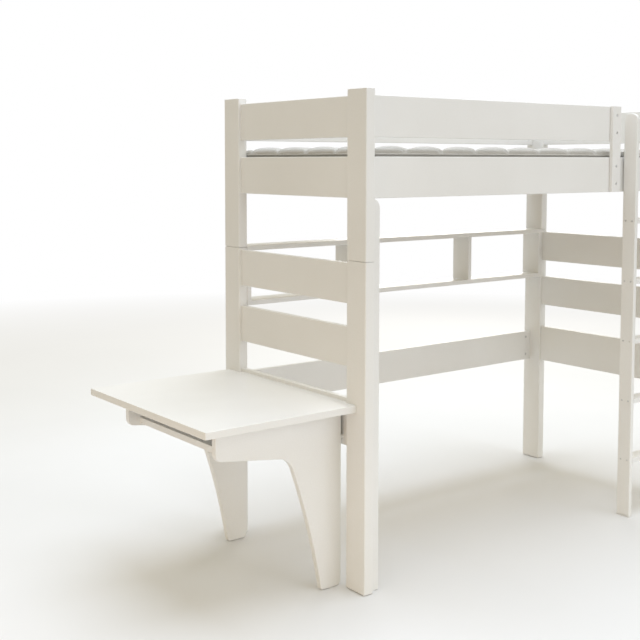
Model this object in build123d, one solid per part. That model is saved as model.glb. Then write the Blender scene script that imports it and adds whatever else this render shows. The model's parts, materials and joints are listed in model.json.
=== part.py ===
from build123d import *
import os

# A white loft bed with a desk on its left short end, in millimetres.
# +X runs along the bed to the right, +Y to the rear and +Z up. The pieces are laid out with
# X = 0 at the outer face of the left posts and Y = 0 at the front face of the front posts.
# At export they move so that the origin is the middle of the footprint, on the floor.

# Posts
bed_length = 2100
bed_width = 995
bed_height = 1985
post_depth = 46  # along X
post_width = 115  # along Y
post_joint_z = 1319  # the upper posts stand on the lower posts here
post_edge = 5
post_end_edge = 1
joint_gap = 2  # a shadow line round the joint
joint_gap_depth = 6
glide_height = 3
glide_radius = 11

# Rails
rail_height = 162
rail_thickness = 22
rail_edge = 3
end_rail_recess = 15  # behind the posts' outer faces
side_rail_recess = 20  # behind the posts' front and rear faces
upper_rail_z = 1562
middle_rail_z = 1145
lower_rail_z = 892
base_rail_z = 573
base_rail_height = 194
brace_rail_z = 570
guard_gap = 75  # between the upper rail and the guard rail

# Battens that stand under the ends of the front side rail
batten_width = 44
batten_corner = 38

# Ladder entry in the front guard rail
entry_width = 484
upright_width = 60
upright_thickness = 18

# Slatted base and mattress
ledge_z = 1575
ledge_height = 28
ledge_width = 30
ledge_edge = 2
slat_count = 15
slat_width = 70
slat_thickness = 18
slat_edge = 3
slat_end_gap = 14  # from the posts' inner faces to the first slat
slat_side_gap = 2.5
tape_width = 25
tape_thickness = 1.5
tape_inset = 200
mattress_length = 2000
mattress_width = 895
mattress_height = 138
mattress_gap = 1
mattress_corner = 35
mattress_edge = 18

# Shelf unit along the rear side
shelf_thickness = 22
shelf_upper_z = 1301
shelf_lower_z = 1051
shelf_edge = 1.5
divider_left_x = 650
divider_right_x = 1470

# Desk
desk_reach = 693  # from the posts' outer faces to the desk's free edge
desk_front_y = 52
desk_rear_y = 968
desk_top_z = 751
desk_thickness = 28
desk_corner = 4
desk_edge = 2
fit_gap = 0.5
bracket_thickness = 25
bracket_inset = 146.5  # from the bed's front and rear faces to the brackets' outer faces
bracket_reach = 591
bracket_end_z = 605  # underside of the arm at its free end
bracket_knee = (-256, 561)  # where the arm turns down into the leg
bracket_shin = (-152, 245)  # a point half way down the leg's outer edge
bracket_toe_x = -99
arm_corner = 28
knee_radius = 80
toe_radius = 10
heel_radius = 20
storage_z = 607
storage_thickness = 25
storage_reach = 536
cleat_height = 40
bush_radius = 10

# Hook-on ladder
ladder_width = 400
stile_thickness = 22
stile_depth = 70
stile_top_radius = 31
ladder_gap = 6  # between the stiles and the side rail
stile_top_z = 1930
tread_count = 5
tread_rise = 287
tread_thickness = 22
tread_edge = 3
ladder_foot_height = 6
hook_thickness = 4
hook_overlap = 54  # how far a hook reaches forward along its stile
hook_drop = 34  # how far it reaches down behind the side rail
hook_height = 26  # the bridge over the side rail
hook_plate_drop = 70
hook_clearance = 0.3
hook_leg = 5
hook_corner = 4

# Fasteners
dowel_radius = 5
dowel_length = 60
dowel_pitch = 90
splice_dowel_length = 100
splice_dowel_pitch = 40
cam_radius = 7.5
cam_depth = 13
cam_setback = 34
cam_pitch = 100
cam_bolt_radius = 3.5
cam_bolt_bite = 25
cam_bolt_short_bite = 15
screw_radius = 2.5
screw_head_radius = 5
bolt_radius = 3
bolt_head_radius = 7
bolt_head_height = 2
barrel_radius = 5
barrel_length = 20
barrel_setback = 38
pair_shares = (0.25, 0.75)  # where two fasteners sit across a board
ledge_screw_count = 7
ledge_screw_bite = 15
batten_screw_shares = {0.15: "lower", 0.5: "lower", 0.92: "upper"}  # the post half behind each
shelf_screw_shares = (0.15, 0.85)
board_screw_length = 55
guard_bolt_bite = 16
cleat_bolt_shares = (0.15, 0.5, 0.85)
cleat_bolt_length = 38
arm_cam_shares = (0.3, 0.75)  # along a bracket's arm, from the bed
storage_cam_shares = (0.3, 0.8)
hook_screw_places = ((0.35, 0.7), (0.75, 0.7), (0.55, -0.1))  # shares of depth and plate drop

# Heights and places that follow from the driving dimensions
guard_rail_z = upper_rail_z + rail_height + guard_gap
guard_top_z = guard_rail_z + rail_height
inner_left_x = post_depth
inner_right_x = bed_length - post_depth
slat_z = ledge_z + ledge_height
mattress_z = slat_z + slat_thickness + mattress_gap
rail_front_y = side_rail_recess
rail_rear_y = bed_width - side_rail_recess - rail_thickness
guard_end_x = inner_right_x - entry_width
shelf_front_y = bed_width - post_width
desk_under_z = desk_top_z - desk_thickness
bracket_front_y = bracket_inset
bracket_rear_y = bed_width - bracket_inset - bracket_thickness
ladder_left_x = inner_right_x - (entry_width + ladder_width) / 2
ladder_back_y = side_rail_recess - ladder_gap
ladder_front_y = ladder_back_y - stile_depth
centre_x = (bed_length - desk_reach) / 2
centre_y = (bed_width + ladder_front_y) / 2

X, Y, Z = Vector(1, 0, 0), Vector(0, 1, 0), Vector(0, 0, 1)

solids = {}  # the solids of each node
bores = {}  # the tools that drill each node


def add(node, solid):
    """Put a solid into a node."""
    solids.setdefault(node, []).append(solid)


def fasten(group, fastener, tool, nodes):
    """Add a fastener to its group and drill the pieces that it runs through."""
    add(group, fastener)
    for node in nodes:
        bores.setdefault(node, []).append(tool)


def block(x, y, z):
    """A box between pairs of lowest and highest values."""
    size = (x[1] - x[0], y[1] - y[0], z[1] - z[0])
    middle = ((x[0] + x[1]) / 2, (y[0] + y[1]) / 2, (z[0] + z[1]) / 2)
    return Pos(*middle) * Box(*size)


def board(x, y, z, grain, edge):
    """A board whose long edges, along its grain, are rounded."""
    plank = block(x, y, z)
    return fillet(plank.edges().filter_by(grain), edge)


def rod(start, direction, radius, length):
    """A cylinder that starts at a point and runs along a direction."""
    seat = Plane(origin=start, z_dir=direction)
    return seat * Cylinder(radius, length, align=(Align.CENTER, Align.CENTER, Align.MIN))


def screw(start, direction, length, radius=screw_radius, head=screw_head_radius):
    """A countersunk screw, with its head flush with the surface at its start."""
    seat = Plane(origin=start, z_dir=direction)
    sink = head - radius
    cone = Cone(head, radius, sink, align=(Align.CENTER, Align.CENTER, Align.MIN))
    return rod(start, direction, radius, length) + seat * cone


def bolt_head(start, direction):
    """The low round head of a furniture bolt, standing on the surface at its start."""
    return rod(start, direction * -1, bolt_head_radius, bolt_head_height)


# Posts


def post_places():
    """Each post's name, with the X and Y of its lowest corner."""
    far_x = bed_length - post_depth
    far_y = bed_width - post_width
    return {
        "front_left": (0, 0),
        "front_right": (far_x, 0),
        "rear_left": (0, far_y),
        "rear_right": (far_x, far_y),
    }


def post_half(x, y, low_z, high_z):
    """One half of a post, with its long edges rounded and its ends eased."""
    half = board((x, x + post_depth), (y, y + post_width), (low_z, high_z), Axis.Z, post_edge)
    ends = half.faces().filter_by(Axis.Z)
    return chamfer(ends.edges(), post_end_edge)


def joint_core(x, y):
    """The middle of a post where its two halves meet, inside the shadow line."""
    across = (x + joint_gap_depth, x + post_depth - joint_gap_depth)
    along = (y + joint_gap_depth, y + post_width - joint_gap_depth)
    return block(across, along, (post_joint_z - joint_gap, post_joint_z))


def make_posts():
    """Four posts, each a lower half, an upper half and two dowels between them."""
    for place, (x, y) in post_places().items():
        lower = "post_lower_" + place
        upper = "post_upper_" + place
        stump = post_half(x, y, glide_height, post_joint_z - joint_gap)
        add(lower, stump + joint_core(x, y))
        add(upper, post_half(x, y, post_joint_z, bed_height))
        for side in (-0.5, 0.5):
            dowel_y = y + post_width / 2 + side * splice_dowel_pitch
            foot = (x + post_depth / 2, dowel_y, post_joint_z - splice_dowel_length / 2)
            dowel = rod(foot, Z, dowel_radius, splice_dowel_length)
            fasten("post_splice_dowels", dowel, dowel, (lower, upper))


def make_glides():
    """Round glides under the posts, the battens and the desk brackets."""
    places = []
    for x, y in post_places().values():
        for share in pair_shares:
            places.append((x + post_depth / 2, y + share * post_width))
    for x in (inner_left_x + batten_width / 2, inner_right_x - batten_width / 2):
        places.append((x, rail_front_y + rail_thickness / 2))
    for y in (bracket_front_y, bracket_rear_y):
        places.append((bracket_toe_x / 2, y + bracket_thickness / 2))
    for x, y in places:
        add("floor_glides", rod((x, y, 0), Z, glide_radius, glide_height))


# Rails across the two ends


def end_rail(name, side, z, height):
    """A rail between the front and rear posts of one end, held by dowels."""
    x = end_rail_recess
    if side == "right":
        x = bed_length - end_rail_recess - rail_thickness
    y = (post_width, bed_width - post_width)
    node = name + "_" + side
    add(node, board((x, x + rail_thickness), y, (z, z + height), Axis.Y, rail_edge))
    half = "upper" if z > post_joint_z else "lower"
    for place, rail_end in (("front", y[0]), ("rear", y[1])):
        post = "post_" + half + "_" + place + "_" + side
        for share in (-0.5, 0.5):
            dowel_z = z + height / 2 + share * dowel_pitch
            start = (x + rail_thickness / 2, rail_end - dowel_length / 2, dowel_z)
            dowel = rod(start, Y, dowel_radius, dowel_length)
            fasten("end_rail_dowels", dowel, dowel, (node, post))


def make_end_rails():
    """Five rails across each end. The lowest one on the left carries the desk."""
    for side in ("left", "right"):
        end_rail("end_guard_rail", side, guard_rail_z, rail_height)
        end_rail("end_rail_upper", side, upper_rail_z, rail_height)
        end_rail("end_rail_middle", side, middle_rail_z, rail_height)
        end_rail("end_rail_lower", side, lower_rail_z, rail_height)
        end_rail("end_rail_base", side, base_rail_z, base_rail_height)


# Cam fittings, which draw a board up to the face of another piece


def cam_fitting(start, outward, cam_face, inset, held, board_node, bite=cam_bolt_bite):
    """A bolt from the held piece into a board's end, and the cam that pulls on it.

    start is on the joint face, outward runs from it into the board, cam_face is the normal of the
    board face that the cam shows in, and inset is how far that face is from the bolt's axis.
    """
    bolt_length = bite + cam_setback - cam_radius
    bolt = rod(Vector(*start) - outward * bite, outward, cam_bolt_radius, bolt_length)
    fasten("cam_bolts", bolt, bolt, (held, board_node))
    cam_centre = Vector(*start) + outward * cam_setback + cam_face * inset
    cam = rod(cam_centre, cam_face * -1, cam_radius, cam_depth)
    fasten("cam_locks", cam, cam, (board_node,))


def rail_cams(node, post, joint_x, outward, y, z, cam_face):
    """Two cam fittings, one above the other, at one end of a rail along the bed."""
    for share in (-0.5, 0.5):
        height = z + rail_height / 2 + share * cam_pitch
        start = (joint_x, y + rail_thickness / 2, height)
        cam_fitting(start, outward, cam_face, rail_thickness / 2, post, node)


# Rails along the two sides


def side_rail(node, row, z, half, x_end=inner_right_x):
    """A rail along the bed between the left and right posts, or to a free right end."""
    y = rail_front_y if row == "front" else rail_rear_y
    cam_face = Y if row == "front" else Y * -1
    x = (inner_left_x, x_end)
    add(node, board(x, (y, y + rail_thickness), (z, z + rail_height), Axis.X, rail_edge))
    post = "post_" + half + "_" + row
    rail_cams(node, post + "_left", x[0], X, y, z, cam_face)
    if x_end == inner_right_x:
        rail_cams(node, post + "_right", x[1], X * -1, y, z, cam_face)


def make_side_rails():
    """The side rails, the guard rails above them and the low brace rail at the rear."""
    side_rail("side_rail_front", "front", upper_rail_z, "upper")
    side_rail("side_rail_rear", "rear", upper_rail_z, "upper")
    side_rail("guard_rail_rear", "rear", guard_rail_z, "upper")
    side_rail("guard_rail_front", "front", guard_rail_z, "upper", x_end=guard_end_x)
    side_rail("brace_rail_rear", "rear", brace_rail_z, "lower")


def make_guard_upright():
    """The upright that holds the free end of the front guard rail, with its bolts."""
    x = (guard_end_x - upright_width, guard_end_x)
    y = (rail_front_y - upright_thickness, rail_front_y)
    add("guard_upright", board(x, y, (upper_rail_z, guard_top_z), Axis.Z, rail_edge))
    length = upright_thickness + guard_bolt_bite
    for rail, z in (("side_rail_front", upper_rail_z), ("guard_rail_front", guard_rail_z)):
        for share in pair_shares:
            start = Vector(sum(x) / 2, y[0], z + share * rail_height)
            shank = rod(start, Y, bolt_radius, length)
            bolt = shank + bolt_head(start, Y)
            fasten("furniture_bolts", bolt, shank, ("guard_upright", rail))


def make_support_battens():
    """Battens from the floor to the underside of the front side rail, beside the posts."""
    y = (rail_front_y, rail_front_y + rail_thickness)
    ends = (("left", inner_left_x, 1), ("right", inner_right_x, -1))
    for side, x, way in ends:
        node = "support_batten_" + side
        free_x = x + way * batten_width
        batten = block(tuple(sorted((x, free_x))), y, (glide_height, upper_rail_z))
        top = batten.edges().filter_by(Axis.Y).group_by(Axis.Z)[-1].sort_by(Axis.X)
        batten = fillet(top[-1] if way > 0 else top[0], batten_corner)
        free_edges = batten.edges().filter_by(Axis.Z).sort_by(Axis.X)
        batten = fillet(free_edges[-2:] if way > 0 else free_edges[:2], rail_edge)
        add(node, batten)
        for share, half in batten_screw_shares.items():
            start = (free_x, sum(y) / 2, share * upper_rail_z)
            fixing = screw(start, X * -way, batten_width + post_depth / 2)
            post = "post_" + half + "_front_" + side
            fasten("batten_screws", fixing, fixing, (node, post))


# Slatted base and mattress


def make_ledges():
    """The ledges that carry the slats, screwed to the insides of the side rails."""
    rows = (
        ("front", rail_front_y + rail_thickness, 1),
        ("rear", rail_rear_y, -1),
    )
    x = (inner_left_x, inner_right_x)
    for row, face_y, way in rows:
        node = "slat_ledge_" + row
        y = tuple(sorted((face_y, face_y + way * ledge_width)))
        add(node, board(x, y, (ledge_z, ledge_z + ledge_height), Axis.X, ledge_edge))
        pitch = (x[1] - x[0]) / ledge_screw_count
        for i in range(ledge_screw_count):
            place_x = x[0] + (i + 0.5) * pitch
            start = (place_x, face_y + way * ledge_width, ledge_z + ledge_height / 2)
            fixing = screw(start, Y * -way, ledge_width + ledge_screw_bite)
            fasten("ledge_screws", fixing, fixing, (node, "side_rail_" + row))


def make_slats():
    """Slats across the ledges, and the two tapes that join them from below."""
    first = inner_left_x + slat_end_gap
    last = inner_right_x - slat_end_gap - slat_width
    side = rail_front_y + rail_thickness + slat_side_gap
    y = (side, bed_width - side)
    for i in range(slat_count):
        x = first + i * (last - first) / (slat_count - 1)
        z = (slat_z, slat_z + slat_thickness)
        add("slats", board((x, x + slat_width), y, z, Axis.Y, slat_edge))
    for tape_y in (tape_inset, bed_width - tape_inset - tape_width):
        along = (first, last + slat_width)
        across = (tape_y, tape_y + tape_width)
        add("slat_tapes", block(along, across, (slat_z - tape_thickness, slat_z)))


def make_mattress():
    """The mattress, as a plain rounded block."""
    x = ((bed_length - mattress_length) / 2, (bed_length + mattress_length) / 2)
    y = ((bed_width - mattress_width) / 2, (bed_width + mattress_width) / 2)
    pad = block(x, y, (mattress_z, mattress_z + mattress_height))
    pad = fillet(pad.edges().filter_by(Axis.Z), mattress_corner)
    pad = fillet(pad.faces().filter_by(Axis.Z).edges(), mattress_edge)
    add("mattress", pad)


# Shelf unit


def shelf_board(node, z, half):
    """A shelf between the rear posts, drawn to them by cams on its underside."""
    y = (shelf_front_y, bed_width)
    x = (inner_left_x, inner_right_x)
    add(node, board(x, y, (z, z + shelf_thickness), Axis.X, shelf_edge))
    for side, joint_x, outward in (("left", x[0], X), ("right", x[1], X * -1)):
        for share in pair_shares:
            start = (joint_x, y[0] + share * post_width, z + shelf_thickness / 2)
            post = "post_" + half + "_rear_" + side
            half_board = shelf_thickness / 2
            cam_fitting(start, outward, Z * -1, half_board, post, node, cam_bolt_short_bite)


def make_shelf_unit():
    """Two long shelves with an upright at each end and two dividers between them."""
    shelf_board("shelf_board_upper", shelf_upper_z, "lower")
    shelf_board("shelf_board_lower", shelf_lower_z, "lower")
    uprights = {
        "shelf_end_left": inner_left_x,
        "shelf_divider_left": divider_left_x,
        "shelf_divider_right": divider_right_x,
        "shelf_end_right": inner_right_x - shelf_thickness,
    }
    y = (shelf_front_y, bed_width)
    z = (shelf_lower_z + shelf_thickness, shelf_upper_z)
    for node, x in uprights.items():
        add(node, board((x, x + shelf_thickness), y, z, Axis.Z, shelf_edge))
        for share in shelf_screw_shares:
            place = (x + shelf_thickness / 2, y[0] + share * post_width)
            top = (*place, shelf_upper_z + shelf_thickness)
            fixing = screw(top, Z * -1, board_screw_length)
            fasten("shelf_screws", fixing, fixing, ("shelf_board_upper", node))
            fixing = screw((*place, shelf_lower_z), Z, board_screw_length)
            fasten("shelf_screws", fixing, fixing, ("shelf_board_lower", node))


# Desk


def make_desk_top():
    """The desk top, with a tongue between the posts that meets the end rail."""
    z = (desk_under_z, desk_top_z)
    top = block((-desk_reach, 0), (desk_front_y, desk_rear_y), z)
    top = fillet(top.edges().filter_by(Axis.Z).group_by(Axis.X)[0], desk_corner)
    top = fillet(top.faces().filter_by(Axis.Z).edges(), desk_edge)
    tongue_y = (post_width + fit_gap, bed_width - post_width - fit_gap)
    tongue = block((-desk_thickness, end_rail_recess), tongue_y, z)
    add("desk_top", top + tongue)


def bracket_outline():
    """A bracket's side: an arm that tapers outwards and a leg that narrows to its foot."""
    heel = (0, glide_height)
    toe = (bracket_toe_x, glide_height)
    top_back = (0, desk_under_z)
    top_end = (-bracket_reach, desk_under_z)
    arm_end = (-bracket_reach, bracket_end_z)
    with BuildSketch(Plane.XZ) as side:
        with BuildLine():
            Polyline(toe, heel, top_back, top_end, arm_end, bracket_knee)
            ThreePointArc(bracket_knee, bracket_shin, toe)
        make_face()
        for point, radius in (
            (arm_end, arm_corner),
            (bracket_knee, knee_radius),
            (toe, toe_radius),
            (heel, heel_radius),
        ):
            corner = side.vertices().sort_by_distance((*point, 0))[0]
            fillet(corner, radius)
    return side.sketch


def make_desk_brackets():
    """Two brackets, each bolted through the end rail into a pair of barrel nuts."""
    rail_face = Vector(end_rail_recess + rail_thickness, 0, 0)
    shank_length = rail_face.X + barrel_setback + barrel_radius * 2
    rows = (
        ("front", bracket_front_y, bracket_front_y + bracket_thickness, Y * -1),
        ("rear", bracket_rear_y, bracket_rear_y, Y),
    )
    for row, y, inner_y, into in rows:
        node = "desk_bracket_" + row
        panel = extrude(bracket_outline(), -bracket_thickness)
        panel = fillet(panel.faces().filter_by(Axis.Y).edges(), desk_edge)
        add(node, Pos(0, y, 0) * panel)
        middle_y = y + bracket_thickness / 2
        for z in (storage_z, desk_under_z - cleat_height / 2):
            start = rail_face + Vector(0, middle_y, z)
            shank = rod(start, X * -1, bolt_radius, shank_length)
            bolt = shank + bolt_head(start, X * -1)
            fasten("furniture_bolts", bolt, shank, (node, "end_rail_base_left", "barrel_nuts"))
            bush_seat = (0, middle_y, z)
            bush = rod(bush_seat, X, bush_radius, end_rail_recess)
            add("desk_bushes", bush - shank)
            nut = rod((-barrel_setback, inner_y, z), into, barrel_radius, barrel_length)
            fasten("barrel_nuts", nut, nut, (node,))
        half = bracket_thickness / 2
        for share in arm_cam_shares:
            joint = (-share * bracket_reach, middle_y, desk_under_z)
            cam_fitting(joint, Z * -1, into * -1, half, "desk_top", node, cam_bolt_short_bite)


def make_desk_storage():
    """The board under the desk top, and the cleat that carries the top's rear edge."""
    y = (bracket_front_y + bracket_thickness, bracket_rear_y)
    z = (storage_z, storage_z + storage_thickness)
    node = "desk_storage_board"
    add(node, board((-storage_reach, end_rail_recess), y, z, Axis.Y, shelf_edge))
    half = storage_thickness / 2
    for row, joint_y, outward in (("front", y[0], Y), ("rear", y[1], Y * -1)):
        bracket = "desk_bracket_" + row
        for share in storage_cam_shares:
            joint = (-share * storage_reach, joint_y, sum(z) / 2)
            cam_fitting(joint, outward, Z * -1, half, bracket, node, cam_bolt_short_bite)
    x = (end_rail_recess - rail_thickness, end_rail_recess)
    z = (desk_under_z - cleat_height, desk_under_z)
    add("desk_cleat", board(x, y, z, Axis.Y, shelf_edge))
    for share in cleat_bolt_shares:
        middle_y = y[0] + share * (y[1] - y[0])
        start = Vector(end_rail_recess + rail_thickness, middle_y, sum(z) / 2)
        shank = rod(start, X * -1, bolt_radius, cleat_bolt_length)
        bolt = shank + bolt_head(start, X * -1)
        fasten("furniture_bolts", bolt, shank, ("desk_cleat", "end_rail_base_left"))


# Ladder


def ladder_stiles():
    """Each stile's name, lowest X, the X of its outer face and the way inwards."""
    right_x = ladder_left_x + ladder_width
    return (
        ("ladder_stile_left", ladder_left_x, ladder_left_x, 1),
        ("ladder_stile_right", right_x - stile_thickness, right_x, -1),
    )


def make_ladder_stiles():
    """Two stiles with rounded tops, each on a plastic foot."""
    y = (ladder_front_y, ladder_back_y)
    for node, x, _, _ in ladder_stiles():
        across = (x, x + stile_thickness)
        stile = block(across, y, (ladder_foot_height, stile_top_z))
        tops = stile.edges().filter_by(Axis.X).group_by(Axis.Z)[-1]
        stile = fillet(tops, stile_top_radius)
        stile = fillet(stile.faces().filter_by(Axis.X).edges(), tread_edge)
        add(node, stile)
        add("ladder_feet", board(across, y, (0, ladder_foot_height), Axis.Z, tread_edge))


def make_ladder_treads():
    """Flat treads between the stiles, each held by two screws at each end."""
    x = (ladder_left_x + stile_thickness, ladder_left_x + ladder_width - stile_thickness)
    y = (ladder_front_y, ladder_back_y)
    for i in range(tread_count):
        top_z = (i + 1) * tread_rise
        z = (top_z - tread_thickness, top_z)
        add("ladder_treads", board(x, y, z, Axis.X, tread_edge))
        for node, _, outer_x, way in ladder_stiles():
            for share in pair_shares:
                start = (outer_x, y[0] + share * stile_depth, sum(z) / 2)
                fixing = screw(start, X * way, board_screw_length)
                fasten("ladder_tread_screws", fixing, fixing, (node, "ladder_treads"))


def hook_outline():
    """A hook plate seen from the side: along the stile, over the rail and down behind it."""
    rail_top = upper_rail_z + rail_height + hook_clearance
    behind = rail_front_y + rail_thickness + hook_clearance
    front = ladder_back_y - hook_overlap
    over = rail_front_y - hook_clearance
    points = (
        (front, rail_top - hook_plate_drop),
        (ladder_back_y, rail_top - hook_plate_drop),
        (over, rail_top),
        (behind, rail_top),
        (behind, rail_top - hook_drop),
        (behind + hook_leg, rail_top - hook_drop),
        (behind + hook_leg, rail_top + hook_height),
        (front, rail_top + hook_height),
    )
    with BuildSketch(Plane.YZ) as side:
        with BuildLine():
            Polyline(*points, close=True)
        make_face()
        outer = side.vertices().group_by(Axis.Y)[-1]
        fillet(outer, hook_corner)
    return side.sketch


def make_ladder_hooks():
    """A steel hook plate inside each stile, with three screws."""
    screw_z = upper_rail_z + rail_height
    for node, x, _, way in ladder_stiles():
        plate_x = x + stile_thickness if way > 0 else x - hook_thickness
        add("ladder_hooks", Pos(plate_x, 0, 0) * extrude(hook_outline(), hook_thickness))
        inner_x = plate_x + hook_thickness if way > 0 else plate_x
        for y_share, drop in hook_screw_places:
            place_y = ladder_front_y + y_share * stile_depth
            start = (inner_x, place_y, screw_z - drop * hook_plate_drop)
            fixing = screw(start, X * -way, stile_thickness)
            fasten("ladder_hook_screws", fixing, fixing, (node, "ladder_hooks"))


# Build and export


def finished(node):
    """A node's solids, drilled for the fasteners that run through them and moved into place."""
    move = Pos(-centre_x, -centre_y, 0)
    done = []
    for solid in solids[node]:
        piece = solid
        for tool in bores.get(node, []):
            piece = piece - tool
        done.extend(move * part for part in piece.solids())
    return done[0] if len(done) == 1 else Compound(children=done)


make_posts()
make_glides()
make_end_rails()
make_side_rails()
make_guard_upright()
make_support_battens()
make_ledges()
make_slats()
make_mattress()
make_shelf_unit()
make_desk_top()
make_desk_brackets()
make_desk_storage()
make_ladder_stiles()
make_ladder_treads()
make_ladder_hooks()

os.makedirs("parts", exist_ok=True)
for node in solids:
    export_step(finished(node), "parts/" + node + ".step")
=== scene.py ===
import json
import math

import bmesh
import bpy
import numpy as np
from mathutils import Matrix, Vector


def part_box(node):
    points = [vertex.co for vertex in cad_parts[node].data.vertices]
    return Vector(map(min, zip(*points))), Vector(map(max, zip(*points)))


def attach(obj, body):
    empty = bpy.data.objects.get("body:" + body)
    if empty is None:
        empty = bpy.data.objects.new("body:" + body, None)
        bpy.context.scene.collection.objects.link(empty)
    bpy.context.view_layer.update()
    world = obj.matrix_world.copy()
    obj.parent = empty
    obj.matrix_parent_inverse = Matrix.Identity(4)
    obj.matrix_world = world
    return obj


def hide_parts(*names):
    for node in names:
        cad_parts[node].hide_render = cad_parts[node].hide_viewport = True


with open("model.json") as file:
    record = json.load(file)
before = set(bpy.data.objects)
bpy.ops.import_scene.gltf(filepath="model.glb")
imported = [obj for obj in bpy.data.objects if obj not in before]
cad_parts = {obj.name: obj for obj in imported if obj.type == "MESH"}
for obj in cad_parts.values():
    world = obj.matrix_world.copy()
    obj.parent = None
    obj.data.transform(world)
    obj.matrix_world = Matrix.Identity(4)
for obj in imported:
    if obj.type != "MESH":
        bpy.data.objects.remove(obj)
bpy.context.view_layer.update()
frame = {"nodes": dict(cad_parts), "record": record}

# A white loft bed with a desk on its left short end. Lengths are in metres, in the CAD frame.
# The CAD boards stay as they are and get their lacquer here. The mattress is sewn and inflated
# here, the slat tapes are woven strips, and the screws, bolts and cams get their real heads.

nodes = frame["nodes"]
scene = bpy.context.scene

X_AXIS, Y_AXIS, Z_AXIS = 0, 1, 2


# Material graphs

# The sockets of the Mix node that belong to its colours, which share their names with others.
MIX_FACTOR, MIX_A, MIX_B, MIX_RESULT = 0, 6, 7, 2


class Graph:
    """A node material: makes nodes, sets their sockets and joins them to one shader."""

    def __init__(self, name):
        self.material = bpy.data.materials.new(name)
        self.material.use_nodes = True
        self.tree = self.material.node_tree
        self.shader = self.tree.nodes["Principled BSDF"]
        self.place = self.make("ShaderNodeTexCoord").outputs["Object"]

    def put(self, value, socket):
        """Links a socket to another node's output, or sets it to a constant."""
        if isinstance(value, bpy.types.NodeSocket):
            self.tree.links.new(value, socket)
        else:
            socket.default_value = value

    def make(self, kind, settings=None, **sockets):
        """A node of a kind, with its settings, and its sockets set or linked by name."""
        node = self.tree.nodes.new(kind)
        for key, value in (settings or {}).items():
            setattr(node, key, value)
        for key, value in sockets.items():
            self.put(value, node.inputs[key.replace("_", " ")])
        return node

    def stretched(self, scale):
        """The place, scaled by a different amount along each axis."""
        return self.make("ShaderNodeMapping", Vector=self.place, Scale=scale).outputs["Vector"]

    def noise(self, scale, detail, rough, place=None):
        """A noise value from 0 to 1."""
        return self.make(
            "ShaderNodeTexNoise",
            Vector=place or self.place,
            Scale=scale,
            Detail=detail,
            Roughness=rough,
        ).outputs["Fac"]

    def streaks(self, scales, detail, rough):
        """A noise value from 0 to 1, with its own scale along each axis."""
        return self.noise(1.0, detail, rough, self.stretched(scales))

    def ramp(self, value, *stops):
        """Colours along a value; each stop is (position, (r, g, b))."""
        node = self.make("ShaderNodeValToRGB", Fac=value)
        band = node.color_ramp
        while len(band.elements) < len(stops):
            band.elements.new(0.5)
        for element, (position, colour) in zip(band.elements, stops):
            element.position = position
            element.color = (*colour, 1)
        return node.outputs["Color"]

    def spread(self, value, low, high, start=0.0, stop=1.0):
        """A value mapped from start..stop to low..high, and clamped."""
        return self.make(
            "ShaderNodeMapRange",
            Value=value,
            From_Min=start,
            From_Max=stop,
            To_Min=low,
            To_Max=high,
        ).outputs["Result"]

    def math(self, operation, *values):
        """One arithmetic step on values."""
        node = self.make("ShaderNodeMath", {"operation": operation})
        for index, value in enumerate(values):
            self.put(value, node.inputs[index])
        return node.outputs[0]

    def mix(self, share, first, second, blend="MIX"):
        """Two colours mixed by a share."""
        node = self.make("ShaderNodeMix", {"data_type": "RGBA", "blend_type": blend})
        for index, value in ((MIX_FACTOR, share), (MIX_A, first), (MIX_B, second)):
            self.put((*value, 1) if isinstance(value, tuple) else value, node.inputs[index])
        return node.outputs[MIX_RESULT]

    def times(self, first, second):
        """Two colours multiplied."""
        return self.mix(1.0, first, second, "MULTIPLY")

    def bump(self, height, strength, distance, under=None):
        """A normal raised by a height, on top of another bump."""
        node = self.make("ShaderNodeBump", Height=height, Strength=strength, Distance=distance)
        if under is not None:
            self.put(under, node.inputs["Normal"])
        return node.outputs["Normal"]

    def finish(self, colour, roughness, normal, **constants):
        """Joins the shader and sets its constant sockets."""
        self.put(colour, self.shader.inputs["Base Color"])
        self.put(roughness, self.shader.inputs["Roughness"])
        self.put(normal, self.shader.inputs["Normal"])
        for key, value in constants.items():
            self.put(value, self.shader.inputs[key.replace("_", " ")])
        return self.material


def along(axis, lengthwise, across):
    """A scale that draws a pattern out along one axis."""
    return tuple(lengthwise if i == axis else across for i in range(3))


WHITE = (1.0, 1.0, 1.0)
LACQUER_SHADE = (0.800, 0.790, 0.765)
LACQUER_LIGHT = (0.845, 0.838, 0.818)
LACQUER_SPECK = (0.965, 0.962, 0.955)


def white_lacquer(name, axis):
    """Sprayed satin white over a close-grained board whose grain runs along an axis."""
    g = Graph(name)
    cloud = g.noise(scale=1.7, detail=3.0, rough=0.55)
    speck = g.noise(scale=420.0, detail=2.0, rough=0.6)
    tone = g.ramp(cloud, (0.30, LACQUER_SHADE), (0.70, LACQUER_LIGHT))
    dust = g.ramp(speck, (0.30, LACQUER_SPECK), (0.62, WHITE))
    grain = g.streaks(along(axis, lengthwise=3.0, across=190.0), detail=5.0, rough=0.6)
    pores = g.streaks(along(axis, lengthwise=22.0, across=900.0), detail=3.0, rough=0.7)
    peel = g.noise(scale=620.0, detail=2.0, rough=0.5)
    scuffs = g.streaks(along(axis, lengthwise=9.0, across=75.0), detail=6.0, rough=0.75)
    rub = g.spread(scuffs, low=0.0, high=0.16, start=0.56, stop=0.78)
    satin = g.spread(g.noise(scale=5.0, detail=4.0, rough=0.6), low=0.30, high=0.42)
    normal = g.bump(grain, strength=0.10, distance=0.0006)
    normal = g.bump(pores, strength=0.06, distance=0.0003, under=normal)
    normal = g.bump(peel, strength=0.05, distance=0.0003, under=normal)
    return g.finish(
        g.times(tone, dust),
        g.math("ADD", satin, rub),
        normal,
        Coat_Weight=0.18,
        Coat_Roughness=0.22,
        IOR=1.5,
    )


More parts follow.
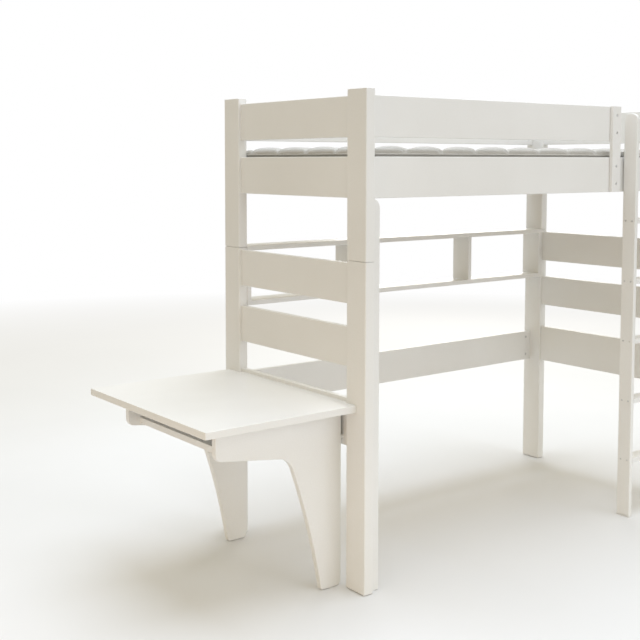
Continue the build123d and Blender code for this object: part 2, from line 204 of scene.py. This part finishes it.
PORE_SHADE = (0.80, 0.74, 0.66)
DARKER_PIECE = (0.90, 0.87, 0.82)


def bare_wood(name, axis, pitch, light, dark):
    """Planed wood with rings and pores along an axis; pieces a pitch apart along X differ."""
    g = Graph(name)
    parts = g.make("ShaderNodeSeparateXYZ", Vector=g.place)
    step = g.math("FLOOR", g.math("DIVIDE", parts.outputs["X"], pitch))
    one_number = {"noise_dimensions": "1D"}
    piece = g.make("ShaderNodeTexWhiteNoise", one_number, W=step).outputs["Value"]
    offset = g.make("ShaderNodeCombineXYZ", X=piece, Y=g.math("MULTIPLY", piece, 7.0), Z=piece)
    moved = g.make("ShaderNodeVectorMath", {"operation": "ADD"})
    g.put(g.stretched(along(axis, lengthwise=0.9, across=16.0)), moved.inputs[0])
    g.put(offset.outputs["Vector"], moved.inputs[1])
    rings = g.make(
        "ShaderNodeTexWave",
        {"wave_type": "RINGS", "rings_direction": "Y"},
        Vector=moved.outputs["Vector"],
        Scale=1.6,
        Distortion=5.5,
        Detail=3.0,
        Detail_Scale=1.2,
    ).outputs["Fac"]
    pores = g.streaks(along(axis, lengthwise=14.0, across=620.0), detail=4.0, rough=0.7)
    ring_colour = g.ramp(rings, (0.0, dark), (0.45, light), (1.0, light))
    pore_colour = g.ramp(pores, (0.28, PORE_SHADE), (0.55, WHITE))
    piece_colour = g.ramp(piece, (0.0, DARKER_PIECE), (1.0, WHITE))
    colour = g.times(g.times(ring_colour, pore_colour), piece_colour)
    normal = g.bump(pores, strength=0.22, distance=0.0004)
    normal = g.bump(rings, strength=0.10, distance=0.0004, under=normal)
    return g.finish(colour, g.spread(pores, low=0.72, high=0.52), normal, IOR=1.48)


ZINC_COOL = (0.60, 0.61, 0.63)
ZINC_GREY = (0.70, 0.70, 0.70)
ZINC_WARM = (0.74, 0.72, 0.66)


def zinc_steel(name):
    """Zinc-plated steel: soft brushing, a faint warm and cool bloom and small scratches."""
    g = Graph(name)
    bloom = g.noise(scale=38.0, detail=3.0, rough=0.6)
    colour = g.ramp(bloom, (0.32, ZINC_COOL), (0.52, ZINC_GREY), (0.72, ZINC_WARM))
    brushed = g.streaks((260.0, 1600.0, 260.0), detail=3.0, rough=0.6)
    scratches = g.streaks((900.0, 120.0, 900.0), detail=5.0, rough=0.8)
    scratched = g.spread(scratches, low=0.0, high=0.18, start=0.6, stop=0.8)
    roughness = g.math("ADD", g.spread(brushed, low=0.26, high=0.40), scratched)
    normal = g.bump(brushed, strength=0.12, distance=0.0001)
    normal = g.bump(scratches, strength=0.10, distance=0.0001, under=normal)
    return g.finish(colour, roughness, normal, Metallic=1.0)


def moulded_plastic(name, base):
    """Matt moulded plastic with a fine spark-eroded texture."""
    g = Graph(name)
    darker = tuple(0.93 * c for c in base)
    colour = g.ramp(g.noise(scale=60.0, detail=3.0, rough=0.6), (0.3, darker), (0.7, base))
    grit = g.noise(scale=2400.0, detail=2.0, rough=0.6)
    roughness = g.spread(g.noise(scale=90.0, detail=3.0, rough=0.6), low=0.46, high=0.60)
    normal = g.bump(grit, strength=0.18, distance=0.0002)
    return g.finish(colour, roughness, normal, IOR=1.46)


FLECK = (0.88, 0.88, 0.88)
WASH = (0.96, 0.96, 0.955)
LYING_ABOVE = 0.7  # how upright a normal is where the cloth counts as lying flat


def woven(name, thread, base, shadow, fuzz):
    """Cloth of crossed threads: fine ribs both ways, with slubs and a soft sheen."""
    g = Graph(name)
    parts = g.make("ShaderNodeSeparateXYZ", Vector=g.place).outputs
    turn = 2 * math.pi / thread
    x, y, z = (g.math("MULTIPLY", parts[axis], turn) for axis in "XYZ")
    lying = g.math("MULTIPLY", g.math("SINE", x), g.math("SINE", y))
    standing = g.math("MULTIPLY", g.math("SINE", g.math("ADD", x, y)), g.math("SINE", z))
    facing = g.make("ShaderNodeNewGeometry").outputs["Normal"]
    steepness = g.make("ShaderNodeSeparateXYZ", Vector=facing).outputs["Z"]
    is_lying = g.math("GREATER_THAN", g.math("ABSOLUTE", steepness), LYING_ABOVE)
    lying_part = g.math("MULTIPLY", lying, is_lying)
    standing_part = g.math("MULTIPLY", standing, g.math("SUBTRACT", 1.0, is_lying))
    crossing = g.math("ADD", lying_part, standing_part)
    threads = g.spread(crossing, low=0.0, high=1.0, start=-1.0, stop=1.0)
    slub = g.streaks((14.0, 240.0, 240.0), detail=4.0, rough=0.7)
    cloud = g.noise(scale=3.0, detail=3.0, rough=0.6)
    flecks = g.ramp(slub, (0.34, FLECK), (0.62, WHITE))
    wash = g.ramp(cloud, (0.3, WASH), (0.7, WHITE))
    colour = g.times(g.times(g.mix(threads, shadow, base), flecks), wash)
    normal = g.bump(threads, strength=0.45, distance=thread * 0.22)
    normal = g.bump(slub, strength=0.20, distance=thread * 0.25, under=normal)
    return g.finish(
        colour,
        g.spread(slub, low=0.96, high=0.82),
        normal,
        Sheen_Weight=fuzz,
        Sheen_Roughness=0.5,
    )


SLAT_PITCH = 0.1365
DOWEL_PITCH = 0.05

lacquer = [white_lacquer("white_lacquer_" + letter, i) for i, letter in enumerate("xyz")]
slat_wood = bare_wood(
    "slat_wood", Y_AXIS, SLAT_PITCH, light=(0.80, 0.65, 0.45), dark=(0.66, 0.48, 0.29)
)
dowel_wood = bare_wood(
    "dowel_wood", Y_AXIS, DOWEL_PITCH, light=(0.76, 0.60, 0.40), dark=(0.62, 0.45, 0.27)
)
steel = zinc_steel("zinc_steel")
plastic = moulded_plastic("glide_plastic", (0.78, 0.78, 0.76))
webbing = woven(
    "tape_webbing", 0.0022, base=(0.80, 0.78, 0.71), shadow=(0.60, 0.58, 0.52), fuzz=0.15
)
# The ticking's grey-beige is the cover's pale grey-white darkened to the tone it shows in shade
# under the rails: its own colour with painted shade.
ticking_with_painted_shade = woven(
    "mattress_ticking", 0.0016, base=(0.58, 0.555, 0.505), shadow=(0.44, 0.42, 0.38), fuzz=0.12
)
# The side band's cloth is darker still: the cover's own colour with painted shade for the mattress
# sides.
band_cloth_with_painted_shade = woven(
    "mattress_band", 0.0026, base=(0.47, 0.45, 0.415), shadow=(0.34, 0.325, 0.30), fuzz=0.12
)
piping_cloth = woven(
    "mattress_piping", 0.0012, base=(0.66, 0.64, 0.59), shadow=(0.52, 0.50, 0.46), fuzz=0.12
)

BY_SLOT = {
    "slat_wood": slat_wood,
    "dowel_wood": dowel_wood,
    "zinc_steel": steel,
    "glide_plastic": plastic,
    "tape_webbing": webbing,
    "mattress_cover": ticking_with_painted_shade,
}


def longest_axis(node):
    """The axis along which a board's grain runs."""
    low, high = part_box(node)
    size = high - low
    return max(range(3), key=lambda i: size[i])


def dress(obj, material):
    """Gives an object one material."""
    obj.data.materials.clear()
    obj.data.materials.append(material)


def dress_nodes():
    """Gives every CAD node the material of its slot."""
    slot_of = {row["node"]: row["material_slot"] for row in frame["record"]["subparts"]}
    for node, obj in nodes.items():
        if slot_of[node] != "white_lacquer":
            dress(obj, BY_SLOT[slot_of[node]])
        elif node == "ladder_treads":
            dress(obj, lacquer[X_AXIS])  # one node of five boards, so its box is tall
        else:
            dress(obj, lacquer[longest_axis(node)])


dress_nodes()


# Mesh helpers

SHARP = math.radians(35)
WELD = 1e-6


def piece_from(name, fill, material, *sizes):
    """A new object from a function that fills a bmesh, smooth except at its sharp edges."""
    mesh = bpy.data.meshes.new(name)
    bm = bmesh.new()
    fill(bm, *sizes)
    bmesh.ops.recalc_face_normals(bm, faces=bm.faces)
    for face in bm.faces:
        face.smooth = True
    for edge in bm.edges:
        edge.smooth = edge.calc_face_angle(0.0) < SHARP
    bm.to_mesh(mesh)
    bm.free()
    obj = bpy.data.objects.new(name, mesh)
    scene.collection.objects.link(obj)
    mesh.materials.append(material)
    return obj


def solids_of(node):
    """The separate solids of a CAD node, each as an array of its points."""
    bm = bmesh.new()
    bm.from_mesh(nodes[node].data)
    bmesh.ops.remove_doubles(bm, verts=bm.verts, dist=WELD)
    seen = set()
    solids = []
    for start in bm.verts:
        if start in seen:
            continue
        seen.add(start)
        reached = [start]
        for vert in reached:
            for neighbour in (v for edge in vert.link_edges for v in edge.verts):
                if neighbour not in seen:
                    seen.add(neighbour)
                    reached.append(neighbour)
        solids.append(np.array([vert.co.copy() for vert in reached]))
    bm.free()
    return solids


# Camera, floor and light

CAMERA_PLACE = Vector((-3.3204, -3.5438, 1.7055))
CAMERA_YAW = math.radians(36.81)  # to the right of +Y
CAMERA_PITCH = math.radians(4.0)  # downwards
CAMERA_LENS = 59.31
CAMERA_SENSOR = 36.0
CAMERA_SHIFT = (0.0318, -0.1327)

FLOOR_RADIUS = 40.0
FLOOR_SIDES = 96
FADE_START = 3.0
FADE_STOP = 9.0
FLOOR_DARK = (0.79, 0.79, 0.79)
FLOOR_LIGHT = (0.81, 0.81, 0.81)

STUDIO_COLOUR = (1.0, 0.93, 0.74)
STUDIO_STRENGTH = 0.68

# Each light's place, the point it looks at, the side of its square, its watts and its colour.
LIGHTS = {
    "overhead": ((0.2, 0.0, 6.0), (0.0, 0.0, 0.0), 5.0, 300.0, (0.72, 0.82, 1.0)),
    "front": ((1.5, -6.5, 3.0), (0.2, 0.0, 0.9), 3.5, 98.0, (0.78, 0.84, 1.0)),
    "glow": ((-4.2, -1.2, 0.5), (-0.7, -0.3, 0.3), 1.2, 10.0, (1.0, 0.50, 0.12)),
    "low_front": ((-1.4, -2.0, 0.25), (-0.9, 0.0, 0.25), 0.8, 2.4, (1.0, 0.92, 0.82)),
    "rear": ((5.0, 4.5, 3.2), (0.2, 0.0, 0.9), 3.0, 90.0, WHITE),
}


def make_camera():
    """The camera, a little above eye level, from the front left."""
    data = bpy.data.cameras.new("camera")
    data.lens = CAMERA_LENS
    data.sensor_width = CAMERA_SENSOR
    data.shift_x, data.shift_y = CAMERA_SHIFT
    camera = bpy.data.objects.new("camera", data)
    camera.location = CAMERA_PLACE
    camera.rotation_euler = (math.pi / 2 - CAMERA_PITCH, 0, -CAMERA_YAW)
    scene.collection.objects.link(camera)
    scene.camera = camera


def fill_disc(bm):
    """A flat disc on the ground."""
    bmesh.ops.create_circle(bm, cap_ends=True, radius=FLOOR_RADIUS, segments=FLOOR_SIDES)


def make_floor():
    """A pale floor that fades into the backdrop with distance, where the camera sees it."""
    g = Graph("floor")
    g.tree.nodes.remove(g.shader)
    distance = g.make("ShaderNodeVectorMath", {"operation": "LENGTH"})
    g.put(g.place, distance.inputs[0])
    far = distance.outputs["Value"]
    fade = g.spread(far, low=0.0, high=1.0, start=FADE_START, stop=FADE_STOP)
    cloud = g.noise(scale=0.8, detail=3.0, rough=0.5)
    tone = g.ramp(cloud, (0.3, FLOOR_DARK), (0.7, FLOOR_LIGHT))
    matt = g.make("ShaderNodeBsdfDiffuse", Color=tone)
    seen = g.make("ShaderNodeLightPath").outputs["Is Camera Ray"]
    glow = g.make("ShaderNodeEmission", Color=(*WHITE, 1), Strength=seen)
    both = g.make("ShaderNodeMixShader", Fac=fade)
    g.put(matt.outputs[0], both.inputs[1])
    g.put(glow.outputs[0], both.inputs[2])
    g.put(both.outputs[0], g.tree.nodes["Material Output"].inputs["Surface"])
    piece_from("floor", fill_disc, g.material)


def make_world():
    """A white studio: bright where the camera sees it, softer and warmer as a light."""
    world = bpy.data.worlds.new("studio")
    scene.world = world
    world.use_nodes = True
    tree = world.node_tree
    back = tree.nodes["Background"]
    back.inputs["Color"].default_value = (*STUDIO_COLOUR, 1)
    back.inputs["Strength"].default_value = STUDIO_STRENGTH
    seen = tree.nodes.new("ShaderNodeBackground")
    seen.inputs["Color"].default_value = (*WHITE, 1)
    path = tree.nodes.new("ShaderNodeLightPath")
    both = tree.nodes.new("ShaderNodeMixShader")
    tree.links.new(path.outputs["Is Camera Ray"], both.inputs[0])
    tree.links.new(back.outputs[0], both.inputs[1])
    tree.links.new(seen.outputs[0], both.inputs[2])
    tree.links.new(both.outputs[0], tree.nodes["World Output"].inputs["Surface"])


def make_lights():
    """A cool overhead box, a front light from the right, two low warm glows and a rear fill."""
    for name, (place, target, side, watts, colour) in LIGHTS.items():
        data = bpy.data.lights.new(name, "AREA")
        data.shape = "SQUARE"
        data.size = side
        data.energy = watts
        data.color = colour
        lamp = bpy.data.objects.new(name, data)
        lamp.location = place
        beam = Vector(target) - Vector(place)
        lamp.rotation_euler = beam.to_track_quat("-Z", "Y").to_euler()
        scene.collection.objects.link(lamp)


make_camera()
make_floor()
make_world()
make_lights()
scene.view_settings.view_transform = "Standard"


# Mattress

QUILT = 0.20  # spacing of the quilting lines
QUILT_GROOVE = 0.007  # half the width of a sewn channel
QUILT_PULL = 0.006  # how deep the sewn lines sit
QUILTED_DEPTH = 0.02  # how far down from the highest point the channels are pressed in
PAD_SKIN = 0.003  # how far inside the CAD block the pad starts, because it swells
PAD_CORNER = 0.045  # radius of the upright corners
PAD_EDGE = 0.020  # radius of the top and bottom edges
CORNER_SEGMENTS = 8
EDGE_SEGMENTS = 5
BAND_ABOVE_FLOOR = 0.024
BAND_BELOW_TOP = 0.026
BAND_STEEPNESS = 0.6  # the most that a band face's normal may point up or down
PIPING_RADIUS = 0.0032
PIPING_STEPS = 10  # points round each corner
PIPING_ROUNDNESS = 3
FACING_DOWN = -0.99  # normals below this belong to the underside
VOXEL = 0.012
UNDERSIDE_DEPTH = VOXEL / 10
SEWN_REACH = 0.7 * VOXEL  # points this near a quilting line are held
FREE_DEPTH = 0.004  # points this near the top face may move
TOP_SWELL = 0.014  # the furthest that they move
LARGE_MOVE = 95  # the percentile of the moves that counts as a large one
SMALLEST_MOVE = 1e-9
CLOTH_PRESSURE = 4.0
CLOTH_STIFFNESS = 8
CLOTH_BENDING = 0.3
CLOTH_QUALITY = 4
SIM_FRAMES = 20
SMOOTH_ROUNDS = 30


def rise(edge):
    """How far apart in height an edge's two ends are."""
    return abs(edge.verts[0].co.z - edge.verts[1].co.z)


def is_rim(edge):
    """Whether an edge is level and lies between an upright face and a level one."""
    if rise(edge) > WELD or len(edge.link_faces) != 2:
        return False
    first, second = edge.link_faces
    return abs(first.normal.z - second.normal.z) > 0.5


def round_off(bm, edges, radius, segments):
    """Rounds edges to a radius."""
    bmesh.ops.bevel(
        bm, geom=edges, offset=radius, segments=segments, affect="EDGES", profile=0.5
    )


def fill_block(bm, low, high):
    """A block with rounded upright corners and softly rounded top and bottom edges."""
    bmesh.ops.create_cube(bm, size=1.0)
    size = high - low
    middle = (high + low) / 2
    for vert in bm.verts:
        vert.co = Vector(tuple(middle[i] + vert.co[i] * size[i] for i in range(3)))
    upright = [edge for edge in bm.edges if rise(edge) > PAD_EDGE]
    round_off(bm, upright, PAD_CORNER, CORNER_SEGMENTS)
    round_off(bm, [edge for edge in bm.edges if is_rim(edge)], PAD_EDGE, EDGE_SEGMENTS)


def only(obj):
    """Selects one object and makes it active."""
    for other in bpy.context.selected_objects:
        other.select_set(False)
    bpy.context.view_layer.objects.active = obj
    obj.select_set(True)


def apply(obj, modifier):
    """Applies a modifier to its object's mesh."""
    only(obj)
    bpy.ops.object.modifier_apply(modifier=modifier.name)


def points_of(obj):
    """The mesh's points as an array."""
    co = np.empty(len(obj.data.vertices) * 3)
    obj.data.vertices.foreach_get("co", co)
    return co.reshape(-1, 3)


def set_points(obj, co):
    """Writes an array back to the mesh's points."""
    obj.data.vertices.foreach_set("co", co.ravel())
    obj.data.update()


def quilt_distance(co, low):
    """How far each point is from the nearest line of the diamond quilting."""
    along_one = (co[:, 0] - low.x + co[:, 1] - low.y) / QUILT
    along_two = (co[:, 0] - low.x - co[:, 1] + low.y) / QUILT
    nearest = []
    for lines in (along_one, along_two):
        nearest.append(np.abs(lines - np.round(lines)) * QUILT / math.sqrt(2))
    return np.minimum(*nearest)


def evened(obj, moved, free):
    """Each free point's move, averaged with its neighbours' until the swell is smooth."""
    ends = np.empty(len(obj.data.edges) * 2, dtype=int)
    obj.data.edges.foreach_get("vertices", ends)
    first, second = ends.reshape(-1, 2).T
    count = np.bincount(ends, minlength=len(moved)).astype(float)[:, None]
    for _ in range(SMOOTH_ROUNDS):
        total = np.zeros_like(moved)
        np.add.at(total, first, moved[second])
        np.add.at(total, second, moved[first])
        mean = total / np.maximum(count, 1.0)
        moved = np.where(free[:, None], (moved + mean) / 2, moved)
    return moved


def blow_up(obj, held):
    """Runs the cloth with air pressure and no gravity, some points held, and applies it."""
    group = obj.vertex_groups.new(name="sewn")
    group.add([int(i) for i in np.where(held)[0]], 1.0, "REPLACE")
    cloth = obj.modifiers.new("cloth", "CLOTH")
    cloth.settings.vertex_group_mass = "sewn"
    cloth.settings.use_pressure = True
    cloth.settings.uniform_pressure_force = CLOTH_PRESSURE
    cloth.settings.effector_weights.gravity = 0.0
    cloth.settings.quality = CLOTH_QUALITY
    cloth.settings.tension_stiffness = CLOTH_STIFFNESS
    cloth.settings.compression_stiffness = CLOTH_STIFFNESS
    cloth.settings.bending_stiffness = CLOTH_BENDING
    cloth.point_cache.frame_end = SIM_FRAMES
    for number in range(1, SIM_FRAMES + 1):
        scene.frame_set(number)
    apply(obj, cloth)
    scene.frame_set(1)


def inflate(obj, low, high):
    """Swells the top between its sewn lines, smoothly and no further than TOP_SWELL."""
    rest = points_of(obj)
    sewn = quilt_distance(rest, low) < SEWN_REACH
    top = rest[:, 2] > high.z - FREE_DEPTH
    blow_up(obj, ~top | sewn)
    moved = evened(obj, points_of(obj) - rest, top & ~sewn)
    length = np.linalg.norm(moved, axis=1)
    large = np.percentile(length[top], LARGE_MOVE)
    share = TOP_SWELL * np.tanh(length / large) / np.maximum(length, SMALLEST_MOVE)
    set_points(obj, rest + moved * share[:, None])


def press_channels(obj, low, top):
    """Presses the sewn channels into the top, along the quilting lines."""
    co = points_of(obj)
    groove = np.exp(-((quilt_distance(co, low) / QUILT_GROOVE) ** 2)) * QUILT_PULL
    co[:, 2] -= np.where(co[:, 2] > top - QUILTED_DEPTH, groove, 0.0)
    set_points(obj, co)


def merge_underside(obj, floor):
    """One flat face in place of the many on a pad's underside; the rest is smooth."""
    bm = bmesh.new()
    bm.from_mesh(obj.data)
    for face in bm.faces:
        face.smooth = True
    near = floor + UNDERSIDE_DEPTH
    under = [
        face
        for face in bm.faces
        if face.normal.z < FACING_DOWN and face.calc_center_median().z < near
    ]
    for face in bmesh.ops.dissolve_faces(bm, faces=under)["region"]:
        face.smooth = False
    bm.to_mesh(obj.data)
    bm.free()


def dress_band(obj, bottom, top):
    """Gives the steep faces between two heights the side band's cloth, whose darker grey is partly
    painted shade.
    """
    obj.data.materials.append(band_cloth_with_painted_shade)
    for polygon in obj.data.polygons:
        if abs(polygon.normal.z) < BAND_STEEPNESS and bottom < polygon.center.z < top:
            polygon.material_index = 1


def corner_path(low, high, z):
    """Points round a block's rounded corners at one height."""
    inset = PAD_CORNER
    centres = (
        (high.x - inset, high.y - inset),
        (low.x + inset, high.y - inset),
        (low.x + inset, low.y + inset),
        (high.x - inset, low.y + inset),
    )
    path = []
    for quarter, (x, y) in enumerate(centres):
        for step in range(PIPING_STEPS + 1):
            angle = (quarter + step / PIPING_STEPS) * math.pi / 2
            path.append((x + inset * math.cos(angle), y + inset * math.sin(angle), z))
    return path


def make_piping(name, low, high, z):
    """A piped seam right round the mattress."""
    path = corner_path(low, high, z)
    data = bpy.data.curves.new(name, "CURVE")
    data.dimensions = "3D"
    data.bevel_depth = PIPING_RADIUS
    data.bevel_resolution = PIPING_ROUNDNESS
    data.materials.append(piping_cloth)
    line = data.splines.new("POLY")
    line.points.add(len(path) - 1)
    for point, place in zip(line.points, path):
        point.co = (*place, 1)
    line.use_cyclic_u = True
    piping = bpy.data.objects.new(name, data)
    scene.collection.objects.link(piping)
    only(piping)
    bpy.ops.object.convert(target="MESH")
    piping = bpy.context.active_object
    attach(piping, "mattress")


def make_mattress():
    """A foam mattress in a quilted cover with a side band and two piped seams."""
    low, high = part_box("mattress")
    pad_low = low + Vector((PAD_SKIN, PAD_SKIN, 0))
    pad_high = high - Vector((PAD_SKIN, PAD_SKIN, PAD_SKIN))
    pad = piece_from("mattress_quilted", fill_block, ticking_with_painted_shade, pad_low, pad_high)
    remesh = pad.modifiers.new("remesh", "REMESH")
    remesh.mode = "VOXEL"
    remesh.voxel_size = VOXEL
    apply(pad, remesh)
    inflate(pad, pad_low, pad_high)
    smooth = pad.modifiers.new("smooth", "SUBSURF")
    smooth.levels = smooth.render_levels = 1
    apply(pad, smooth)
    press_channels(pad, pad_low, high.z)
    merge_underside(pad, low.z)
    band_low, band_high = low.z + BAND_ABOVE_FLOOR, high.z - BAND_BELOW_TOP
    dress_band(pad, band_low, band_high)
    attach(pad, "mattress")
    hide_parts("mattress")
    make_piping("mattress_piping_top", pad_low, pad_high, band_high)
    make_piping("mattress_piping_bottom", pad_low, pad_high, band_low)


make_mattress()


# Slat tapes

TAPE_ROWS = 420
TAPE_COLUMNS = 8
TAPE_THICKNESS = 0.0011
TAPE_CLEARANCE = 0.0001  # between the tape and the slats
TAPE_DIP = 0.0004  # how far it sinks between two slats
TAPE_CURL = 0.0002  # how far its two edges turn down


def slat_rhythm():
    """Where the first slat's middle is along the bed, and how far apart the slats are."""
    middles = sorted({round(float(solid[:, 0].mean()), 4) for solid in solids_of("slats")})
    return middles[0], middles[1] - middles[0]


def fill_tape(bm, low, high):
    """A strip's grid of faces, dipping between the slats and turned down at its edges."""
    first_slat, pitch = slat_rhythm()
    grid = []
    for i in range(TAPE_ROWS + 1):
        x = low.x + (high.x - low.x) * i / TAPE_ROWS
        sway = (math.cos((x - first_slat) / pitch * 2 * math.pi) - 1) / 2
        row = []
        for j in range(TAPE_COLUMNS + 1):
            across = j / TAPE_COLUMNS
            edge = abs(across - 0.5) * 2
            z = high.z - TAPE_CLEARANCE + sway * TAPE_DIP - edge ** 6 * TAPE_CURL
            row.append(bm.verts.new((x, low.y + (high.y - low.y) * across, z)))
        grid.append(row)
    for first, second in zip(grid, grid[1:]):
        for j in range(TAPE_COLUMNS):
            bm.faces.new((first[j], second[j], second[j + 1], first[j + 1]))


def make_tape(side, low, high):
    """One woven tape, pulled straight under the slats."""
    tape = piece_from("slat_tape_" + side, fill_tape, webbing, low, high)
    solid = tape.modifiers.new("thickness", "SOLIDIFY")
    solid.thickness = TAPE_THICKNESS
    solid.offset = -1.0
    apply(tape, solid)
    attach(tape, "bed_frame")
    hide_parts("slat_tapes")


def make_tapes():
    """The front and the rear tape, where the CAD has them."""
    low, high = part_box("slat_tapes")
    points = np.vstack(solids_of("slat_tapes"))
    middle = (low.y + high.y) / 2
    for side, keep in (("front", points[:, 1] < middle), ("rear", points[:, 1] > middle)):
        across = points[keep, 1]
        strip_low = Vector((low.x, across.min(), low.z))
        strip_high = Vector((high.x, across.max(), high.z))
        make_tape(side, strip_low, strip_high)


make_tapes()


# Screw, bolt and cam heads

HEAD_SIDES = 48
RIM_DEPTH = 2e-4  # points this near a fastener's end belong to its end face
SMALLEST = 1e-6
SLOT_HALF_WIDTH = 0.0006
CROSS_SHARE = 0.20  # half the width of a cross's arm, as a share of its reach


def ring(bm, matrix, radius, height, shape):
    """A ring of points round a fastener's axis; shape gives a radius for each angle."""
    verts = []
    for i in range(HEAD_SIDES):
        angle = 2 * math.pi * i / HEAD_SIDES
        reach = shape(angle, radius)
        place = Vector((reach * math.cos(angle), reach * math.sin(angle), height))
        verts.append(bm.verts.new(matrix @ place))
    return verts


def bridge(bm, first, second):
    """Faces between two rings of the same size."""
    for i in range(HEAD_SIDES):
        after = (i + 1) % HEAD_SIDES
        bm.faces.new((first[i], first[after], second[after], second[i]))


def circle(angle, radius):
    """The radius of a circle at an angle."""
    return radius


def hexagon(angle, radius):
    """The radius of a hexagon socket at an angle."""
    sector = math.pi / 3
    turned = (angle + sector / 2) % sector - sector / 2
    return radius / math.cos(turned)


def cross(angle, radius):
    """The radius of a cross recess at an angle."""
    turned = (angle + math.pi / 4) % (math.pi / 2) - math.pi / 4
    side = abs(math.sin(turned))
    return min(radius, radius * CROSS_SHARE / max(side, SMALLEST))


def straight(angle, radius):
    """The radius of a straight screwdriver slot at an angle."""
    side = abs(math.sin(angle))
    return min(radius, SLOT_HALF_WIDTH / max(side, SMALLEST))


def lathe(bm, matrix, turned, recess, shape):
    """A closed shape from (radius, height) pairs: turned ones, then a recess of its shape."""
    rings = [ring(bm, matrix, radius, height, circle) for radius, height in turned]
    rings += [ring(bm, matrix, radius, height, shape) for radius, height in recess]
    for first, second in zip(rings, rings[1:]):
        bridge(bm, first, second)
    bm.faces.new(rings[0])
    bm.faces.new(rings[-1])


def head_matrix(points, outward):
    """A matrix whose Z is a fastener's outward axis, at the middle of its outermost end."""
    heights = points @ outward
    rim = points[heights > heights.max() - RIM_DEPTH]
    turn = Vector(outward).to_track_quat("Z", "Y").to_matrix().to_4x4()
    return Matrix.Translation(Vector(rim.mean(0))) @ turn


def towards_head(points):
    """The unit direction from a fastener's point towards its head, the wider end."""
    size = np.ptp(points, axis=0)
    axis = int(np.argmax(size))
    middle = (points.max(0) + points.min(0)) / 2
    reach = np.linalg.norm(np.delete(points - middle, axis, 1), axis=1)
    high_end = points[:, axis] > middle[axis]
    direction = np.zeros(3)
    direction[axis] = 1.0 if reach[high_end].max() > reach[~high_end].max() else -1.0
    return direction


BED_MIDDLE_Y = (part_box("side_rail_front")[0].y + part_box("side_rail_rear")[1].y) / 2


def inwards(points):
    """The unit direction in which a cam or barrel nut shows: down, or towards the middle."""
    size = np.ptp(points, axis=0)
    axis = int(np.argmax(np.abs(size - np.median(size))))
    if axis == Z_AXIS:
        return np.array((0.0, 0.0, -1.0))
    side = -1.0 if points[:, 1].mean() > BED_MIDDLE_Y else 1.0
    return np.array((0.0, side, 0.0))


SCREW_SHANK = 0.0025
SCREW_HEAD = 0.0050


def screw_profile(length):
    """A countersunk wood screw and its recess."""
    turned = (
        (0.0004, -length),
        (SCREW_SHANK * 0.7, -length + 0.006),
        (SCREW_SHANK, -length + 0.010),
        (SCREW_SHANK, -(SCREW_HEAD - SCREW_SHANK)),
        (SCREW_HEAD - 0.0003, -0.0004),
        (SCREW_HEAD - 0.0005, 0.0),
    )
    recess = ((SCREW_HEAD * 0.60, 0.0), (SCREW_HEAD * 0.52, -0.0004), (SCREW_HEAD * 0.30, -0.0022))
    return turned, recess


BOLT_HEAD = 0.0070
BOLT_DOME = 0.0020
BOLT_SHANK = 0.0030
BOLT_SOCKET = 0.0020


def bolt_profile(length):
    """A furniture bolt with a low domed head, and its socket."""
    turned = (
        (BOLT_SHANK - 0.0006, -length),
        (BOLT_SHANK, -length + 0.0008),
        (BOLT_SHANK, -BOLT_DOME),
        (BOLT_HEAD, -BOLT_DOME),
        (BOLT_HEAD, -BOLT_DOME + 0.0006),
        (BOLT_HEAD * 0.93, -0.0007),
        (BOLT_HEAD * 0.75, -0.0002),
        (BOLT_HEAD * 0.50, 0.0),
    )
    recess = ((BOLT_SOCKET + 0.0003, 0.0), (BOLT_SOCKET, -0.0003), (BOLT_SOCKET, -0.0030))
    return turned, recess


CAM_RADIUS = 0.0075


def cam_profile(depth):
    """A cam with a raised rim, and its recess."""
    turned = (
        (CAM_RADIUS - 0.0006, -depth),
        (CAM_RADIUS, -depth + 0.0006),
        (CAM_RADIUS, -0.0003),
        (CAM_RADIUS - 0.0003, 0.0),
        (CAM_RADIUS - 0.0012, 0.0),
        (CAM_RADIUS - 0.0015, -0.0004),
    )
    recess = ((0.0046, -0.0004), (0.0042, -0.0008), (0.0030, -0.0030))
    return turned, recess


NUT_RADIUS = 0.005


def nut_profile(length):
    """A barrel nut with eased ends, and its slot."""
    turned = (
        (NUT_RADIUS - 0.0004, -length),
        (NUT_RADIUS, -length + 0.0004),
        (NUT_RADIUS, -0.0004),
        (NUT_RADIUS - 0.0004, 0.0),
        (0.0040, 0.0),
    )
    recess = ((0.0038, -0.0002), (0.0038, -0.0016))
    return turned, recess


def fill_fasteners(bm, node, direction_of, profile_of, shape):
    """Every fastener of a node, with its real head."""
    for points in solids_of(node):
        outward = direction_of(points)
        length = float(np.ptp(points @ outward))
        lathe(bm, head_matrix(points, outward), *profile_of(length), shape)


def replace_fasteners(node, body, direction_of, profile_of, shape):
    """Puts detailed fasteners in place of a CAD node."""
    sizes = (node, direction_of, profile_of, shape)
    fasteners = piece_from(node + "_detailed", fill_fasteners, steel, *sizes)
    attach(fasteners, body)
    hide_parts(node)


for node, body in (
    ("batten_screws", "bed_frame"),
    ("ledge_screws", "bed_frame"),
    ("shelf_screws", "bed_frame"),
    ("ladder_tread_screws", "ladder"),
    ("ladder_hook_screws", "ladder"),
):
    replace_fasteners(node, body, towards_head, screw_profile, cross)
replace_fasteners("furniture_bolts", "bed_frame", towards_head, bolt_profile, hexagon)
replace_fasteners("cam_locks", "bed_frame", inwards, cam_profile, cross)
replace_fasteners("barrel_nuts", "bed_frame", inwards, nut_profile, straight)
